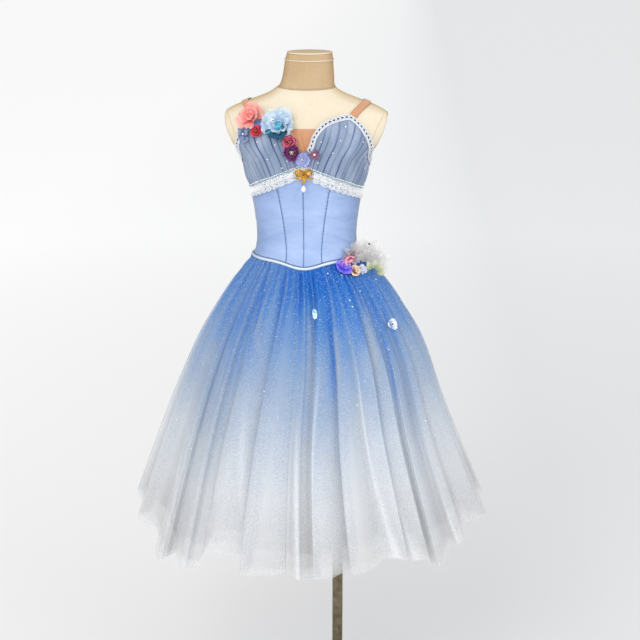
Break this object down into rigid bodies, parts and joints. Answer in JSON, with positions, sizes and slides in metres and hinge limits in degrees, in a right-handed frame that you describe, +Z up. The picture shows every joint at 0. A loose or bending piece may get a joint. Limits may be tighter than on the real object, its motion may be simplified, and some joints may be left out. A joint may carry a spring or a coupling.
{
  "type": "ballet dress on a dress form",
  "caption": "Ballet dress with a satin bodice, ruched cups and a long pleated tulle skirt, on a limbless dress form on a pole stand.",
  "frame": {"origin": "centre of the stand base's underside, on the floor", "axes": "+Z up along the pole, -Y towards the front of the dress, +X to the right of someone who looks at its front"},
  "size_m": [0.8924, 0.8128, 1.676],
  "materials": {
    "linen": "unbleached linen cover, plain weave, matt",
    "neck_linen": "beige linen, plain weave, matt",
    "stand_base": "cast iron, dark bronze lacquer, satin",
    "stand_pole": "steel tube, bronze lacquer, satin",
    "satin": "pale blue stretch satin, soft sheen",
    "grey_tulle": "grey-blue ruched tulle over satin, matt",
    "nude_mesh": "nude stretch mesh and elastic",
    "braid": "white and silver braid and lace",
    "skirt_tulle": "glitter tulle, dyed from blue at the waist to white at the hem",
    "under_tulle": "soft tulle, dyed from blue to white",
    "coral_organza": "organza petals, sheer edges",
    "blue_organza": "organza petals, sheer edges",
    "red_petal": "starched fabric petals",
    "grey_bow": "tulle loops",
    "crimson_petal": "starched fabric petals",
    "purple_petal": "velvet petals",
    "lavender_petal": "organza petals",
    "mauve_petal": "thin organza petals",
    "violet_petal": "organza petals",
    "cream_petal": "starched fabric petals",
    "pink_petal": "organza petals",
    "greige_petal": "tulle petals",
    "white_petal": "tulle and organza petals",
    "leaf": "starched fabric leaves",
    "gilt": "gilt, polished",
    "amber": "faceted amber glass",
    "garnet": "faceted dark red glass",
    "crystal": "faceted crystal with a rainbow coating",
    "pearl": "imitation pearl, nacre lustre",
    "sequin": "iridescent film petals"
  },
  "bodies": {
    "dress": {"form_torso": "linen", "form_cap": "linen", "form_neck": "neck_linen", "stand_base": "stand_base", "stand_pole": "stand_pole", "bodice_front_left": "satin", "bodice_side_front_left": "satin", "bodice_side_back_left": "satin", "bodice_back_left": "satin", "bodice_front_right": "satin", "bodice_side_front_right": "satin", "bodice_side_back_right": "satin", "bodice_back_right": "satin", "back_placket": "satin", "waist_piping": "satin", "cup_left": "grey_tulle", "cup_right": "grey_tulle", "neck_insert": "nude_mesh", "strap_left": "nude_mesh", "strap_right": "nude_mesh", "trim_left": "braid", "trim_right": "braid", "lace_band": "braid", "skirt_outer_front": "skirt_tulle", "skirt_outer_back": "skirt_tulle", "skirt_inner_front": "under_tulle", "skirt_inner_back": "under_tulle", "flower_coral": "coral_organza", "flower_blue_organza": "blue_organza", "rose_red": "red_petal", "bow_grey_tulle": "grey_bow", "rose_crimson": "crimson_petal", "flower_purple": "purple_petal", "flower_lavender": "lavender_petal", "flower_mauve": "mauve_petal", "hip_flower_violet": "violet_petal", "hip_rose_cream": "cream_petal", "hip_petals_pink": "pink_petal", "hip_flower_greige": "greige_petal", "hip_puff_white": "white_petal", "hip_flower_white": "white_petal", "hip_leaves": "leaf", "brooch_bow": "gilt", "brooch_pin": "gilt", "brooch_gem_left": "amber", "brooch_gem_right": "amber", "brooch_gem_middle": "garnet", "skirt_crystal": "crystal", "skirt_sequin_flower": "sequin"},
    "pearl_drop": {"drop_ring": "gilt", "drop_pearl": "pearl"}
  },
  "joints": [
    {"name": "drop_swing", "type": "hinge", "parent": "dress", "child": "pearl_drop", "pos_m": [-0.075, -0.1233, 1.3915], "axis": [0, 1, 0], "range_deg": [-30, 30]}
  ]
}
